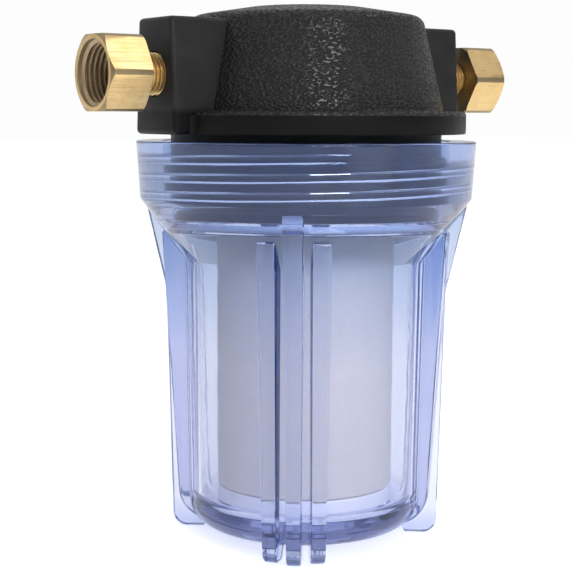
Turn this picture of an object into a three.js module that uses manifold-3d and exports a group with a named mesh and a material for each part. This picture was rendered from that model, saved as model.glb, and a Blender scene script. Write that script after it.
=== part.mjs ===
// Magnetic system filter with a clear screwed bowl: a moulded head with two brass pipe adaptors, a ribbed
// clear bowl that stands on eight feet, a filter cartridge inside it, and a magnet core hung in the middle.
// Millimetres, +Z up. The origin is the centre of the feet on the ground, and X runs along the two ports.

import * as THREE from 'three';
import { mergeVertices } from 'three/addons/utils/BufferGeometryUtils.js';
import Module from 'manifold-3d';

// ---- driving dimensions ----------------------------------------------------------------------------

const RIM_Z = 139;                 // top rim of the bowl above the ground
const ROUND_SEGMENTS = 40;         // sides of a large round surface
const SMALL_SEGMENTS = 24;         // sides of a small round surface
const GAP = 0.3;                   // clearance between pieces that touch

const COLLAR = { topR: 59, lowR: 57.8, height: 19.7, edge: 0.8 };
const BODY = { topR: 42.6, lowR: 41, wall: 3.7, coneBottomZ: RIM_Z - 40.7, floorZ: 12.5 };
const BASE = { z: 3.8, cornerR: 9, recessR: 27, recessZ: 7 };  // a low rim round a shallow recess
const FLOOR_CORNER_R = 5;          // inside rounding of the bowl's floor
const THREAD_BORE_R = 49.8;
const SEAL_BORE = { r: 48, topZ: RIM_Z - 24.2, ledgeZ: RIM_Z - 27.9, ledgeInnerR: 43.6 };
const BOWL_SPIGOT = { outerR: 11.5, innerR: 9, topZ: 19 };

const RIB_GROUPS = 4;
const RIBS_PER_GROUP = 3;
const RIB_GROUP_START = THREE.MathUtils.degToRad(49.4);
const RIB_SPACING = THREE.MathUtils.degToRad(10.6);
const RIB = { topR: 50.3, lowR: 45, topZ: RIM_Z - 31, topThickness: 6.3, footThickness: 4.8 };
const GUSSET = { topR: 56.2, topZ: RIM_Z - 21.8, endR: 49.3, endZ: RIM_Z - 52, lowR: 47.3 };
const FOOT = { cornerR: 5, innerR: 36, heelR: 33.4 };
const RIB_END = { cornerR: 12, z: BASE.z + 0.7, sweep: 78 };   // how a rib without a foot ends, in degrees

const LEAD = 5.8;                  // bowl thread, one start, right hand
const THREAD = { rootWidth: 3.5, tipWidth: 1.9, bury: 0.5, runOut: 0.08 };
const BOWL_THREAD = { rootR: THREAD_BORE_R, tipR: 47.6, turns: 2.75, topZ: RIM_Z - 4.5 };
const BOWL_THREAD_TOP_ANGLE = THREE.MathUtils.degToRad(-103.6);

const NECK = { r: 47, innerR: 41.5, bottomZ: RIM_Z - 23.4 };
const HEAD_THREAD_ADVANCE = 72 / 360;  // turns from the bowl ridge's top end to the head ridge's top end
const HEAD_THREAD = {
  rootR: NECK.r, tipR: 49.2, turns: 2.5, topZ: BOWL_THREAD.topZ - LEAD * (0.5 - HEAD_THREAD_ADVANCE),
};
const FLANGE = { r: 55.3, bottomZ: RIM_Z + 2.5, topZ: RIM_Z + 10.2, edge: 1.6 };
const BARREL = { lowR: 47.6, highR: 40.4, shoulderZ: RIM_Z + 38, edgeR: 4, domeZ: RIM_Z + 46 };
const CHAMBER = { highR: 36, roofZ: RIM_Z + 37, shoulderZ: RIM_Z + 10 };

const PORT_Z = RIM_Z + 21.8;       // height of the port axis
const PORT_END_X = 60.6;           // half length of the port block
const PORT_BLOCK = { topHalf: 10.4, lowHalf: 12.8, topZ: RIM_Z + 39.9, edgeR: 1.6, cornerR: 2 };
const PORT_BORE_R = 5;
const PORT_SOCKET = { r: 7.3, depth: 11 };
const PORT_TUBE_R = 9;
const INLET_REACH = 30;            // the inlet bore ends inside the chamber at this distance from the middle

const CENTRE_TUBE = { outerR: 14.5, bore: 10.2, boreTopZ: RIM_Z + 26 };
const SEAT = { r: 24, bottomZ: RIM_Z + 5.1, topZ: RIM_Z + 9 };
const HEAD_SPIGOT = { r: 12, bottomZ: RIM_Z - 5 };
const SHEATH_SOCKET = { r: 8.35, topZ: RIM_Z + 37.3 };

const HEX = { acrossFlats: 24, length: 14.6, barR: 13.4, innerEdge: 0.4, outerEdge: 0.8 };
const ADAPTOR_END_X = 82.8;        // outer face of the hexagon
const NECK_THREAD = { majorR: 6.85, minorR: 5.9, pitch: 1.411, boreR: 4.2, engaged: 9.5 };
const PIPE_SOCKET = { majorR: 10.5, minorR: 9.35, pitch: 1.814, depth: 12 };

const CARTRIDGE_R = 31;
const SLEEVE_BORE_R = 16.3;
const CORE_TUBE = { outerR: 16, innerR: 14, slotWidth: 4, slotHeight: 18, slotPitch: 24, rows: 4, columns: 3 };
const FLOOR_GASKET = { innerR: 14, outerR: 24, thickness: 2 };
const END_CAP_THICKNESS = 3.7;
const CAP_HOLE_R = 12.4;
const TOP_GASKET = { innerR: 12.7, outerR: 22, thickness: 2 };
const BOWL_SEAL = { ringR: 45.85, sectionR: 1.95 };

const SHEATH = { r: 8, bore: 7, bottomZ: 26, topZ: RIM_Z + 36.8, floor: 1.5 };
const MAGNETS = 6;
const MAGNET = { r: 6.6, height: 20 };
const POLE_DISC_HEIGHT = 3;
const PLUG_BOTTOM_Z = 166.4;
const SHEATH_RING = { ringR: 9.1, sectionR: 0.75, z: CENTRE_TUBE.boreTopZ - 1.05 };

// ---- solids ----------------------------------------------------------------------------------------

const wasm = await Module();
wasm.setup();

function toSolid(geometry) {
  const bare = new THREE.BufferGeometry();
  bare.setAttribute('position', geometry.getAttribute('position'));
  if (geometry.index) {
    bare.setIndex(geometry.index);
  }
  const merged = mergeVertices(bare, 1e-4);
  const corners = merged.index.array;
  const triangles = [];
  for (let i = 0; i < corners.length; i += 3) {
    const [a, b, c] = [corners[i], corners[i + 1], corners[i + 2]];
    if (a !== b && b !== c && c !== a) {
      triangles.push(a, b, c);
    }
  }
  return new wasm.Manifold(new wasm.Mesh({
    numProp: 3,
    vertProperties: new Float32Array(merged.getAttribute('position').array),
    triVerts: new Uint32Array(triangles),
  }));
}

function toGeometry(solid) {
  const mesh = solid.getMesh();
  const geometry = new THREE.BufferGeometry();
  geometry.setAttribute('position', new THREE.BufferAttribute(new Float32Array(mesh.vertProperties), 3));
  geometry.setIndex(new THREE.BufferAttribute(new Uint32Array(mesh.triVerts), 1));
  geometry.computeVertexNormals();
  return geometry;
}

// Turns a profile of [radius, height] points about the Z axis. A profile that misses the axis is closed.
function revolve(profile, segments = ROUND_SEGMENTS) {
  const points = profile.map(([r, z]) => new THREE.Vector2(r, z));
  const onAxis = profile[0][0] === 0 && profile[profile.length - 1][0] === 0;
  if (!onAxis) {
    points.push(points[0].clone());
  }
  return toSolid(new THREE.LatheGeometry(points, segments).rotateX(Math.PI / 2));
}

function ring(innerR, outerR, bottomZ, topZ, segments = SMALL_SEGMENTS) {
  return revolve([[innerR, bottomZ], [outerR, bottomZ], [outerR, topZ], [innerR, topZ]], segments);
}

function disc(radius, bottomZ, topZ, segments = SMALL_SEGMENTS) {
  return revolve([[0, bottomZ], [radius, bottomZ], [radius, topZ], [0, topZ]], segments);
}

// A cylinder along X, from one x to a larger one, at the height of the ports.
function portCylinder(radius, fromX, toX) {
  const geometry = new THREE.CylinderGeometry(radius, radius, toX - fromX, SMALL_SEGMENTS);
  geometry.rotateZ(-Math.PI / 2).translate((fromX + toX) / 2, 0, PORT_Z);
  return toSolid(geometry);
}

// Points of an arc as [radius, height], angles in degrees, both ends included.
function arc(centreR, centreZ, radius, fromDegrees, toDegrees, steps) {
  return Array.from({ length: steps + 1 }, (_, i) => {
    const angle = THREE.MathUtils.degToRad(THREE.MathUtils.lerp(fromDegrees, toDegrees, i / steps));
    return [centreR + radius * Math.cos(angle), centreZ + radius * Math.sin(angle)];
  });
}

// A thread ridge: a straight bar of trapezoid section, its length counted in turns, wound downwards from
// its top end along a right-hand helix. Both ends run out into the wall that the ridge stands on.
function threadRidge({ rootR, tipR, turns, topZ }, topAngle) {
  const buriedR = rootR + Math.sign(rootR - tipR) * THREAD.bury;
  const section = new THREE.Shape([
    new THREE.Vector2(buriedR, -THREAD.rootWidth / 2),
    new THREE.Vector2(tipR, -THREAD.tipWidth / 2),
    new THREE.Vector2(tipR, THREAD.tipWidth / 2),
    new THREE.Vector2(buriedR, THREAD.rootWidth / 2),
  ]);
  const steps = Math.round(turns * ROUND_SEGMENTS);
  const bar = new THREE.ExtrudeGeometry(section, { depth: turns, steps, bevelEnabled: false });
  const place = bar.getAttribute('position');
  for (let i = 0; i < place.count; i += 1) {
    const turn = place.getZ(i);
    const rise = Math.min(1, Math.min(turn, turns - turn) / THREAD.runOut);
    const r = THREE.MathUtils.lerp(buriedR, place.getX(i), Math.max(rise, 0.1));
    const angle = topAngle - 2 * Math.PI * turn;
    place.setXYZ(i, r * Math.cos(angle), r * Math.sin(angle), topZ - LEAD * turn + place.getY(i));
  }
  return toSolid(bar);
}

// Points down the side of a fine pipe thread, as rings of ridges from one height to another.
function ridgedSide(minorR, majorR, pitch, fromZ, toZ) {
  const count = Math.floor(Math.abs(toZ - fromZ) / pitch);
  const step = (toZ - fromZ) / count;
  const points = [];
  for (let i = 0; i < count; i += 1) {
    points.push([minorR, fromZ + step * i], [majorR, fromZ + step * (i + 0.5)]);
  }
  points.push([minorR, toZ]);
  return points;
}

// ---- materials -------------------------------------------------------------------------------------

function material(color, roughness, metalness, extra = {}) {
  return new THREE.MeshStandardMaterial({ color, roughness, metalness, ...extra });
}

const BLACK_PLASTIC = material(0x2d2d2f, 0.55, 0);
const CLEAR_PLASTIC = material(0x8f9fdc, 0.08, 0, { transparent: true, opacity: 0.35 });
const BRASS = material(0xd8b26c, 0.32, 0.95);
const FILTER_WHITE = material(0xf1f1ec, 0.9, 0);
const CAP_WHITE = material(0xe9ebee, 0.5, 0);
const BLACK_RUBBER = material(0x1a1a1a, 0.8, 0);
const PALE_SILICONE = material(0xdfe3e8, 0.45, 0);
const STAINLESS = material(0xc3c6ca, 0.25, 1);
const NICKEL = material(0xa9a69c, 0.3, 1);
const POLE_STEEL = material(0x6f747b, 0.4, 1);

function piece(name, solid, look) {
  const mesh = new THREE.Mesh(toGeometry(solid), look);
  mesh.name = name;
  return mesh;
}

// ---- head casing -----------------------------------------------------------------------------------

function headOutside() {
  const shoulderR = BARREL.highR - BARREL.edgeR;
  return revolve([
    [0, NECK.bottomZ],
    [NECK.r, NECK.bottomZ],
    [NECK.r, FLANGE.bottomZ],
    [FLANGE.r, FLANGE.bottomZ],
    ...arc(FLANGE.r - FLANGE.edge, FLANGE.topZ - FLANGE.edge, FLANGE.edge, 0, 90, 3),
    [BARREL.lowR, FLANGE.topZ],
    ...arc(shoulderR, BARREL.shoulderZ, BARREL.edgeR, 10, 80, 4),
    [BARREL.highR / 2, BARREL.domeZ - 0.8],
    [0, BARREL.domeZ],
  ]);
}

// The port block is one tapered bar right through the barrel, with its four long edges rounded.
function portBlock() {
  const { topHalf, lowHalf, topZ, edgeR } = PORT_BLOCK;
  const outline = new THREE.Shape();
  outline.moveTo(-lowHalf, FLANGE.bottomZ);
  outline.lineTo(lowHalf, FLANGE.bottomZ);
  outline.lineTo(topHalf, topZ - edgeR);
  outline.quadraticCurveTo(topHalf, topZ, topHalf - edgeR, topZ);
  outline.lineTo(edgeR - topHalf, topZ);
  outline.quadraticCurveTo(-topHalf, topZ, -topHalf, topZ - edgeR);
  outline.closePath();
  const bar = new THREE.ExtrudeGeometry(outline, {
    depth: 2 * PORT_END_X, bevelEnabled: false, curveSegments: 3,
  });
  bar.translate(0, 0, -PORT_END_X).rotateX(Math.PI / 2).rotateZ(Math.PI / 2);
  return toSolid(bar);
}

// The flange runs into the side of the port block in a small hollow corner, made here at +X, +Y.
function flangeCorner() {
  const { lowHalf, cornerR } = PORT_BLOCK;
  const centreY = lowHalf + cornerR;
  const centreX = Math.sqrt((FLANGE.r + cornerR) ** 2 - centreY ** 2);
  const turn = Math.atan2(centreY, centreX);
  const inside = FLANGE.r - 2;
  const outline = new THREE.Shape();
  outline.moveTo(inside * Math.cos(turn), lowHalf - 2);
  outline.lineTo(centreX, lowHalf - 2);
  outline.absarc(centreX, centreY, cornerR, -Math.PI / 2, turn - Math.PI, true);
  outline.lineTo(inside * Math.cos(turn), inside * Math.sin(turn));
  outline.closePath();
  const depth = FLANGE.topZ - FLANGE.edge - FLANGE.bottomZ;
  const corner = new THREE.ExtrudeGeometry(outline, { depth, bevelEnabled: false, curveSegments: 4 });
  return toSolid(corner.translate(0, 0, FLANGE.bottomZ));
}

function headChamber() {
  return revolve([
    [0, NECK.bottomZ - 1],
    [NECK.innerR, NECK.bottomZ - 1],
    [NECK.innerR, CHAMBER.shoulderZ],
    [CHAMBER.highR, CHAMBER.roofZ],
    [0, CHAMBER.roofZ],
  ]);
}

// The tube in the middle takes filtered water up to the outlet. Its seat presses on the cartridge.
function headCentre() {
  return revolve([
    [0, HEAD_SPIGOT.bottomZ],
    [HEAD_SPIGOT.r, HEAD_SPIGOT.bottomZ],
    [HEAD_SPIGOT.r, SEAT.bottomZ],
    [SEAT.r, SEAT.bottomZ],
    [SEAT.r, SEAT.topZ],
    [CENTRE_TUBE.outerR, SEAT.topZ],
    [CENTRE_TUBE.outerR, CHAMBER.roofZ + 1],
    [0, CHAMBER.roofZ + 1],
  ], SMALL_SEGMENTS);
}

function headCentreBore() {
  return revolve([
    [0, HEAD_SPIGOT.bottomZ - 1],
    [CENTRE_TUBE.bore, HEAD_SPIGOT.bottomZ - 1],
    [CENTRE_TUBE.bore, CENTRE_TUBE.boreTopZ],
    [SHEATH_SOCKET.r, CENTRE_TUBE.boreTopZ],
    [SHEATH_SOCKET.r, SHEATH_SOCKET.topZ],
    [0, SHEATH_SOCKET.topZ],
  ], SMALL_SEGMENTS);
}

function headCasing() {
  const past = PORT_END_X + 1;
  const socketFloor = PORT_END_X - PORT_SOCKET.depth;
  const threadTopAngle = BOWL_THREAD_TOP_ANGLE + 2 * Math.PI * HEAD_THREAD_ADVANCE;
  const corner = flangeCorner();
  const twoCorners = corner.add(corner.mirror([1, 0, 0]));
  return headOutside()
    .add(portBlock())
    .add(twoCorners)
    .add(twoCorners.mirror([0, 1, 0]))
    .subtract(headChamber())
    .add(headCentre())
    .add(portCylinder(PORT_TUBE_R, CENTRE_TUBE.bore + 1, NECK.innerR))
    .subtract(headCentreBore())
    .subtract(portCylinder(PORT_BORE_R, 0, past))
    .subtract(portCylinder(PORT_BORE_R, -past, -INLET_REACH))
    .subtract(portCylinder(PORT_SOCKET.r, socketFloor, past))
    .subtract(portCylinder(PORT_SOCKET.r, -past, -socketFloor))
    .add(threadRidge(HEAD_THREAD, threadTopAngle));
}

// ---- brass adaptors --------------------------------------------------------------------------------

// Built upright: the origin is the middle of the port block's end face and +Z points out of the port.
function adaptor() {
  const reach = ADAPTOR_END_X - PORT_END_X;
  const hexBottom = reach - HEX.length;
  const outerFaceR = HEX.barR - HEX.outerEdge * Math.sqrt(3);
  const innerFaceR = HEX.barR - HEX.innerEdge * Math.sqrt(3);
  const hexagon = new THREE.CylinderGeometry(
    HEX.acrossFlats / Math.sqrt(3), HEX.acrossFlats / Math.sqrt(3), HEX.length, 6);
  hexagon.rotateX(Math.PI / 2).translate(0, 0, hexBottom + HEX.length / 2);
  const turned = revolve([
    [0, hexBottom],
    [innerFaceR, hexBottom],
    [HEX.barR, hexBottom + HEX.innerEdge],
    [HEX.barR, reach - HEX.outerEdge],
    [outerFaceR, reach],
    [0, reach],
  ], ROUND_SEGMENTS);
  const neck = revolve([
    [0, -NECK_THREAD.engaged],
    [NECK_THREAD.minorR, -NECK_THREAD.engaged],
    [NECK_THREAD.majorR, -NECK_THREAD.engaged + 1],
    [NECK_THREAD.majorR, 0],
    ...ridgedSide(NECK_THREAD.minorR, NECK_THREAD.majorR, NECK_THREAD.pitch, 0.4, hexBottom - 0.4),
    [NECK_THREAD.minorR, hexBottom + 1],
    [0, hexBottom + 1],
  ], SMALL_SEGMENTS);
  const floorZ = reach - PIPE_SOCKET.depth;
  const bore = revolve([
    [0, -NECK_THREAD.engaged - 1],
    [NECK_THREAD.boreR, -NECK_THREAD.engaged - 1],
    [NECK_THREAD.boreR, floorZ - 2],
    ...ridgedSide(PIPE_SOCKET.minorR, PIPE_SOCKET.majorR, PIPE_SOCKET.pitch, floorZ, reach - 0.6),
    [PIPE_SOCKET.majorR, reach + 0.5],
    [0, reach + 0.5],
  ], SMALL_SEGMENTS);
  return toSolid(hexagon).intersect(turned).add(neck).subtract(bore);
}

function placedAdaptor(name, side) {
  const mesh = piece(name, adaptor(), BRASS);
  mesh.rotation.y = side * Math.PI / 2;
  mesh.position.set(side * PORT_END_X, 0, PORT_Z);
  return mesh;
}

// ---- bowl ------------------------------------------------------------------------------------------

function bowlShell() {
  const collarLowZ = RIM_Z - COLLAR.height;
  return revolve([
    [0, BASE.recessZ],
    [BASE.recessR, BASE.recessZ],
    ...arc(BODY.lowR - BASE.cornerR, BASE.z + BASE.cornerR, BASE.cornerR, -90, 0, 5),
    [BODY.topR, BODY.coneBottomZ],
    [COLLAR.lowR, collarLowZ],
    [COLLAR.topR, RIM_Z - COLLAR.edge],
    [COLLAR.topR - COLLAR.edge, RIM_Z],
    [THREAD_BORE_R, RIM_Z],
    [THREAD_BORE_R, SEAL_BORE.topZ],
    [SEAL_BORE.r, SEAL_BORE.topZ - 0.8],
    [SEAL_BORE.r, SEAL_BORE.ledgeZ],
    [SEAL_BORE.ledgeInnerR, SEAL_BORE.ledgeZ],
    [BODY.topR - BODY.wall, BODY.coneBottomZ],
    ...arc(BODY.lowR - BODY.wall - FLOOR_CORNER_R, BODY.floorZ + FLOOR_CORNER_R, FLOOR_CORNER_R, 0, -90, 3),
    [BOWL_SPIGOT.outerR, BODY.floorZ],
    [BOWL_SPIGOT.outerR, BOWL_SPIGOT.topZ],
    [BOWL_SPIGOT.innerR, BOWL_SPIGOT.topZ],
    [BOWL_SPIGOT.innerR, BODY.floorZ],
    [0, BODY.floorZ],
  ]);
}

// One rib is an upright plate in the XZ plane, thinner towards its foot. The middle rib of a group runs up
// to the collar as a gusset, and the two beside it fade into the cone. A rib without a foot ends in a
// curve round the base's corner.
function rib(withGusset, withFoot) {
  const lowR = withGusset ? GUSSET.lowR : RIB.lowR;
  const insideR = BODY.lowR - BODY.wall / 2;
  const top = withGusset
    ? [[GUSSET.endR, GUSSET.endZ], [GUSSET.topR, GUSSET.topZ], [COLLAR.lowR - 8, GUSSET.topZ]]
    : [[RIB.topR, RIB.topZ - 1.5], [RIB.topR - 1.6, RIB.topZ]];
  const bottom = withFoot
    ? [[FOOT.innerR, 0], ...arc(lowR - FOOT.cornerR, FOOT.cornerR, FOOT.cornerR, -90, 0, 4)]
    : arc(lowR - RIB_END.cornerR, RIB_END.z + RIB_END.cornerR, RIB_END.cornerR, -RIB_END.sweep, 0, 5);
  const outline = [
    [FOOT.heelR, BASE.z + 2.4],
    ...bottom,
    ...top,
    [BODY.topR - 1, BODY.coneBottomZ + 2],
    [insideR, BASE.z + BASE.cornerR + 2],
    [insideR - 3, BASE.z + 5],
  ];
  const shape = new THREE.Shape(outline.map(([r, z]) => new THREE.Vector2(r, z)));
  const plate = new THREE.ExtrudeGeometry(shape, { depth: 1, bevelEnabled: false });
  plate.translate(0, 0, -0.5).rotateX(Math.PI / 2);
  const place = plate.getAttribute('position');
  for (let i = 0; i < place.count; i += 1) {
    const share = place.getZ(i) / RIB.topZ;
    place.setY(i, place.getY(i) * THREE.MathUtils.lerp(RIB.footThickness, RIB.topThickness, share));
  }
  return plate;
}

function bowl() {
  let solid = bowlShell();
  for (let group = 0; group < RIB_GROUPS; group += 1) {
    for (let i = 0; i < RIBS_PER_GROUP; i += 1) {
      const offset = i - (RIBS_PER_GROUP - 1) / 2;
      const angle = RIB_GROUP_START + group * 2 * Math.PI / RIB_GROUPS + offset * RIB_SPACING;
      const withFoot = offset === 0 || group % 2 === 0;
      solid = solid.add(toSolid(rib(offset === 0, withFoot).rotateZ(angle)));
    }
  }
  return solid.add(threadRidge(BOWL_THREAD, BOWL_THREAD_TOP_ANGLE));
}

function bowlSeal() {
  const z = (NECK.bottomZ + SEAL_BORE.ledgeZ) / 2;
  return toSolid(new THREE.TorusGeometry(BOWL_SEAL.ringR, BOWL_SEAL.sectionR, 6, ROUND_SEGMENTS)
    .translate(0, 0, z));
}

// ---- cartridge -------------------------------------------------------------------------------------

function cartridge() {
  const gasketBottom = BODY.floorZ + GAP;
  const gasketRoom = gasketBottom + FLOOR_GASKET.thickness + GAP;
  const mediaBottom = gasketRoom + END_CAP_THICKNESS + GAP;
  const topGasketTop = SEAT.bottomZ - GAP;
  const topCapTop = topGasketTop - TOP_GASKET.thickness - GAP;
  const mediaTop = topCapTop - END_CAP_THICKNESS - GAP;

  let tube = ring(CORE_TUBE.innerR, CORE_TUBE.outerR, mediaBottom, mediaTop);
  const middle = (mediaBottom + mediaTop) / 2;
  for (let row = 0; row < CORE_TUBE.rows; row += 1) {
    const z = middle + (row - (CORE_TUBE.rows - 1) / 2) * CORE_TUBE.slotPitch;
    for (let column = 0; column < CORE_TUBE.columns; column += 1) {
      const slot = new THREE.BoxGeometry(3 * CORE_TUBE.outerR, CORE_TUBE.slotWidth, CORE_TUBE.slotHeight);
      slot.rotateZ(column * Math.PI / CORE_TUBE.columns).translate(0, 0, z);
      tube = tube.subtract(toSolid(slot));
    }
  }

  const group = new THREE.Group();
  group.add(
    piece('cartridge_floor_gasket', ring(FLOOR_GASKET.innerR, FLOOR_GASKET.outerR, gasketBottom,
      gasketBottom + FLOOR_GASKET.thickness), BLACK_RUBBER),
    piece('cartridge_bottom_cap', revolve([[CAP_HOLE_R, gasketRoom], [FLOOR_GASKET.outerR + GAP, gasketRoom],
      [FLOOR_GASKET.outerR + GAP, gasketBottom], [CARTRIDGE_R, gasketBottom],
      [CARTRIDGE_R, gasketRoom + END_CAP_THICKNESS], [CAP_HOLE_R, gasketRoom + END_CAP_THICKNESS]]), CAP_WHITE),
    piece('filter_sleeve', ring(SLEEVE_BORE_R, CARTRIDGE_R, mediaBottom, mediaTop, ROUND_SEGMENTS),
      FILTER_WHITE),
    piece('core_tube', tube, CAP_WHITE),
    piece('cartridge_top_cap', ring(CAP_HOLE_R, CARTRIDGE_R, topCapTop - END_CAP_THICKNESS, topCapTop,
      ROUND_SEGMENTS), CAP_WHITE),
    piece('cartridge_top_gasket', ring(TOP_GASKET.innerR, TOP_GASKET.outerR,
      topGasketTop - TOP_GASKET.thickness, topGasketTop), BLACK_RUBBER),
  );
  return group;
}

// ---- magnet core -----------------------------------------------------------------------------------

function magnetSheath() {
  return revolve([
    [0, SHEATH.bottomZ],
    [SHEATH.r - 1.5, SHEATH.bottomZ],
    [SHEATH.r, SHEATH.bottomZ + 1.5],
    [SHEATH.r, SHEATH.topZ],
    [SHEATH.bore, SHEATH.topZ],
    [SHEATH.bore, SHEATH.bottomZ + SHEATH.floor],
    [0, SHEATH.bottomZ + SHEATH.floor],
  ], SMALL_SEGMENTS);
}

function magnetCore() {
  const group = new THREE.Group();
  group.add(piece('magnet_sheath', magnetSheath(), STAINLESS));
  let z = SHEATH.bottomZ + SHEATH.floor + GAP;
  for (let i = 1; i <= MAGNETS; i += 1) {
    const magnet = piece(`magnet_${i}`, disc(MAGNET.r, 0, MAGNET.height), NICKEL);
    magnet.position.z = z;
    group.add(magnet);
    z += MAGNET.height + GAP;
    if (i < MAGNETS) {
      const pole = piece(`pole_disc_${i}`, disc(MAGNET.r, 0, POLE_DISC_HEIGHT), POLE_STEEL);
      pole.position.z = z;
      group.add(pole);
      z += POLE_DISC_HEIGHT + GAP;
    }
  }
  group.add(piece('sheath_plug', disc(MAGNET.r, PLUG_BOTTOM_Z, SHEATH.topZ), STAINLESS));
  const seal = new THREE.TorusGeometry(SHEATH_RING.ringR, SHEATH_RING.sectionR, 6, SMALL_SEGMENTS);
  const sealRing = piece('sheath_seal_ring', toSolid(seal), BLACK_RUBBER);
  sealRing.position.z = SHEATH_RING.z;
  group.add(sealRing);
  return group;
}

// ---- the whole filter ------------------------------------------------------------------------------

const headAssembly = new THREE.Group();
headAssembly.add(
  piece('head_casing', headCasing(), BLACK_PLASTIC),
  placedAdaptor('inlet_adaptor', -1),
  placedAdaptor('outlet_adaptor', 1),
  magnetCore(),
);

const bowlAssembly = new THREE.Group();
bowlAssembly.add(
  piece('bowl', bowl(), CLEAR_PLASTIC),
  piece('bowl_seal', bowlSeal(), PALE_SILICONE),
  cartridge(),
);

const filter = new THREE.Group();
filter.add(headAssembly, bowlAssembly);

export default filter;
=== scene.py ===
"""Looks of a magnetic system filter with a clear bowl.

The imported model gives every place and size. This script rebuilds the pieces that show as fine meshes, gives
every piece a procedural material, and adds a studio. Outlines are [radius, height] lists in millimetres.
"""
import math

import bmesh
import bpy
from mathutils import Matrix, Vector


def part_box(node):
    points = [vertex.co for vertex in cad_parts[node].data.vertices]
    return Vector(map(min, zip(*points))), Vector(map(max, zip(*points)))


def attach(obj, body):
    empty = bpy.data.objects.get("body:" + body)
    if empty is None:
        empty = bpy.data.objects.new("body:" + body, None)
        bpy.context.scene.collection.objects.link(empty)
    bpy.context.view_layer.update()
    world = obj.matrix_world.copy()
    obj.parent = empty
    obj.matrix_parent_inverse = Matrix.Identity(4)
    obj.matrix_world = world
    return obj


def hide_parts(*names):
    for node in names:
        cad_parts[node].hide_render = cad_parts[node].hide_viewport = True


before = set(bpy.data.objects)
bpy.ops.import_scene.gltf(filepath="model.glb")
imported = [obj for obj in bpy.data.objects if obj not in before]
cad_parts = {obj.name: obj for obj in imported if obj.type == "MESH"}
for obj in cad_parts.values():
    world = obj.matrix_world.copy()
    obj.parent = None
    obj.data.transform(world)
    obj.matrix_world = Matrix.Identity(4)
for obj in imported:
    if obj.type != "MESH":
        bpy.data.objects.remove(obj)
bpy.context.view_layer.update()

# ---- driving sizes, millimetres ----------------------------------------------------------------------------

MM = 0.001


def node_top(node):
    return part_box(node)[1].z / MM


def node_bottom(node):
    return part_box(node)[0].z / MM


RIM_Z = node_top("bowl")
FINE = 240                      # steps round a large round surface
MEDIUM = 96                     # steps round a small one

COLLAR_TOP_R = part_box("bowl")[1].x / MM
COLLAR_LOW_R = COLLAR_TOP_R - 1.2
COLLAR_LOW_Z = RIM_Z - 19.7
CONE_LOW_Z = RIM_Z - 40.7
BODY_TOP_R = 42.6
BODY_LOW_R = 41.0
BOWL_WALL = 3.7
BASE_Z = 3.8                    # a low rim round a shallow recess
BASE_CORNER_R = 9.0
BASE_RECESS_R = 27.0
BASE_RECESS_Z = 7.0
FLOOR_Z = 12.5
THREAD_BORE_R = 49.8
SEAL_BORE_R = 48.0
SEAL_BORE_TOP_Z = RIM_Z - 24.2
SEAL_LEDGE_Z = RIM_Z - 27.9
LEDGE_INNER_R = 43.6
SPIGOT_OUTER_R = 11.5
SPIGOT_INNER_R = 9.0
SPIGOT_TOP_Z = 19.0

RIB_GROUPS = 4
RIBS_PER_GROUP = 3
RIB_GROUP_START = math.radians(49.4)
RIB_SPACING = math.radians(10.6)
RIB_TOP_Z = RIM_Z - 31
RIB_TOP_R = 50.3
RIB_LOW_R = 45.0
RIB_TOP_THICKNESS = 6.3
RIB_FOOT_THICKNESS = 4.8
RIB_EDGE = 0.7
GUSSET_TOP = (56.2, RIM_Z - 21.8)
GUSSET_END = (49.3, RIM_Z - 52)
GUSSET_LOW_R = 47.3
FOOT_CORNER_R = 5.0
FOOT_INNER_R = 36.0
FOOT_HEEL_R = 33.4
RIB_END_R = 12.0                # how a rib without a foot ends
RIB_END_Z = BASE_Z + 0.7
RIB_END_SWEEP = 78              # degrees

LEAD = 5.8
THREAD_ROOT_WIDTH = 3.5
THREAD_TIP_WIDTH = 1.9
THREAD_STEPS = 96               # to each turn
THREAD_BURY = 0.4               # how deep a ridge's root reaches into its wall
THREAD_RUN_OUT = 0.07           # of a turn, at each end of a ridge
BOWL_THREAD_TIP_R = 47.6
BOWL_THREAD_TURNS = 2.75
BOWL_THREAD_TOP_Z = RIM_Z - 4.5
BOWL_THREAD_TOP_ANGLE = math.radians(-103.6)
HEAD_THREAD_TIP_R = 49.2
HEAD_THREAD_TURNS = 2.5
HEAD_THREAD_ADVANCE = 0.2       # of a turn, from the bowl ridge's top end to the head ridge's

NECK_R = 47.0
NECK_INNER_R = 41.5
NECK_BOTTOM_Z = node_bottom("head_casing")
HEAD_TOP_Z = node_top("head_casing")
FLANGE_R = 55.3
FLANGE_BOTTOM_Z = RIM_Z + 2.5
FLANGE_TOP_Z = RIM_Z + 10.2
FLANGE_EDGE_R = 1.5
BARREL_LOW_R = 47.6
BARREL_HIGH_R = 40.4
BARREL_TOP_Z = RIM_Z + 42
CHAMBER_HIGH_R = 36.0
CHAMBER_ROOF_Z = RIM_Z + 37
CHAMBER_SHOULDER_Z = RIM_Z + 10

PORT_Z = (node_top("inlet_adaptor") + node_bottom("inlet_adaptor")) / 2
PORT_END_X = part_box("head_casing")[1].x / MM
ADAPTOR_END_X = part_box("outlet_adaptor")[1].x / MM
PORT_TOP_HALF = 10.4
PORT_LOW_HALF = 12.8
PORT_BLOCK_TOP_Z = RIM_Z + 39.9
PORT_EDGE_R = 1.6
FLANGE_CORNER_R = 2.0           # the hollow corner between flange and port block
PORT_BORE_R = 5.0
PORT_SOCKET_R = 7.3
PORT_SOCKET_DEPTH = 11.0
PORT_TUBE_R = 9.0
INLET_REACH = 30.0

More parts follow.
